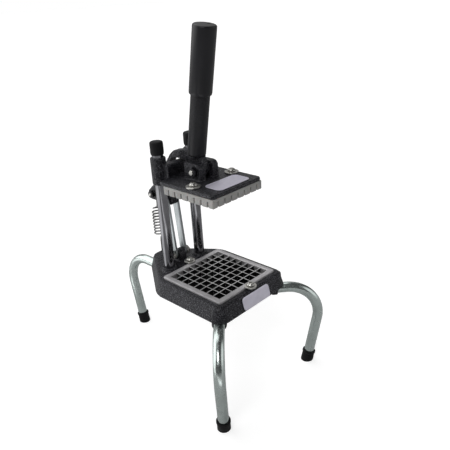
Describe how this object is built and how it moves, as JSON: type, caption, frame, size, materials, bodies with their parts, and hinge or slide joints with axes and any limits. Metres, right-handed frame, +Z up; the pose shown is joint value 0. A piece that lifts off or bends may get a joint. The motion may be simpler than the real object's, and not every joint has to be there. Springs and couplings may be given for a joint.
{
  "type": "tripod vegetable cutter",
  "caption": "Hand-lever chip and vegetable cutter on three bent legs: a pusher head slides down two columns and forces food through a square blade grid.",
  "frame": {"origin": "on the floor, under the middle of the whole machine's box", "axes": "+Z up the columns, +X to the user's right, +Y towards the rear leg; the user stands at -Y"},
  "size_m": [0.1856, 0.2676, 0.4093],
  "materials": {
    "hammertone": "satin",
    "black_paint": "satin",
    "zinc": "satin",
    "dark_steel": "satin",
    "leg_zinc": "satin",
    "link_zinc": "satin",
    "spring_steel": "satin",
    "bright_steel": "polished",
    "cast_aluminium": "satin",
    "blade_steel": "satin",
    "rubber": "matte",
    "grip_vinyl": "satin",
    "pusher_plastic": "satin",
    "label_foil": "satin"
  },
  "bodies": {
    "base": {"base_casting": "hammertone", "base_name_plate": "label_foil", "knife_frame": "cast_aluminium", "blade_across_1": "blade_steel", "blade_across_2": "blade_steel", "blade_across_3": "blade_steel", "blade_across_4": "blade_steel", "blade_across_5": "blade_steel", "blade_across_6": "blade_steel", "blade_across_7": "blade_steel", "blade_lengthways_1": "blade_steel", "blade_lengthways_2": "blade_steel", "blade_lengthways_3": "blade_steel", "blade_lengthways_4": "blade_steel", "blade_lengthways_5": "blade_steel", "blade_lengthways_6": "blade_steel", "blade_lengthways_7": "blade_steel", "knife_washer_front": "zinc", "knife_washer_rear": "zinc", "knife_screw_front": "zinc", "knife_screw_rear": "zinc", "column_left": "bright_steel", "column_right": "bright_steel", "column_nut_left": "zinc", "column_nut_right": "zinc", "column_cap_left": "rubber", "column_cap_right": "rubber", "leg_front_left": "leg_zinc", "leg_front_right": "leg_zinc", "leg_rear": "leg_zinc", "foot_front_left": "rubber", "foot_front_right": "rubber", "foot_rear": "rubber", "link_bolt": "zinc", "link_nut": "zinc", "spring_pin": "zinc"},
    "head": {"pusher_head": "hammertone", "pusher_block": "pusher_plastic", "head_name_plate": "label_foil", "head_washer_left": "zinc", "head_washer_right": "zinc", "head_screw_left": "zinc", "head_screw_right": "zinc", "pivot_bolt": "zinc", "pivot_nut": "dark_steel"},
    "lever": {"lever_arm": "hammertone", "handle_tube": "black_paint", "handle_grip": "grip_vinyl", "tail_bolt": "zinc", "tail_nut": "dark_steel", "lever_pin": "zinc"},
    "links": {"link_left": "link_zinc", "link_right": "link_zinc", "link_rivet_left": "zinc", "link_rivet_right": "zinc"},
    "spring_low": {"spring_coil": "spring_steel"},
    "spring_top": {"spring_hook": "spring_steel"}
  },
  "joints": [
    {"name": "head_slide", "type": "slide", "parent": "base", "child": "head", "axis": [0, 0, -1], "range_m": [0, 0.105], "stiffness_N_per_m": 110, "springref_m": -0.2},
    {"name": "lever_swing", "type": "hinge", "parent": "head", "child": "lever", "pos_m": [0, -0.03504, 0.2596], "axis": [1, 0, 0], "range_deg": [-0.1, 85.5]},
    {"name": "link_swing", "type": "hinge", "parent": "base", "child": "links", "pos_m": [0, 0.01996, 0.1401], "axis": [1, 0, 0], "range_deg": [-0.1, 6.92]},
    {"name": "spring_tilt", "type": "hinge", "parent": "base", "child": "spring_low", "pos_m": [0, 0.05446, 0.1226], "axis": [1, 0, 0], "range_deg": [-0.1, 16.68]},
    {"name": "spring_stretch", "type": "slide", "parent": "spring_low", "child": "spring_top", "axis": [0, -0.0056, 1], "range_m": [0, 0.03221], "deforming": ["spring_coil", "spring_hook"]}
  ],
  "couplings": [
    {"joint": "lever_swing", "follows": "head_slide", "rad_per_m": 14.194},
    {"joint": "link_swing", "follows": "head_slide", "rad_per_m": 1.1325},
    {"joint": "spring_tilt", "follows": "head_slide", "rad_per_m": 2.754},
    {"joint": "spring_stretch", "follows": "head_slide", "ratio": 0.30668}
  ]
}
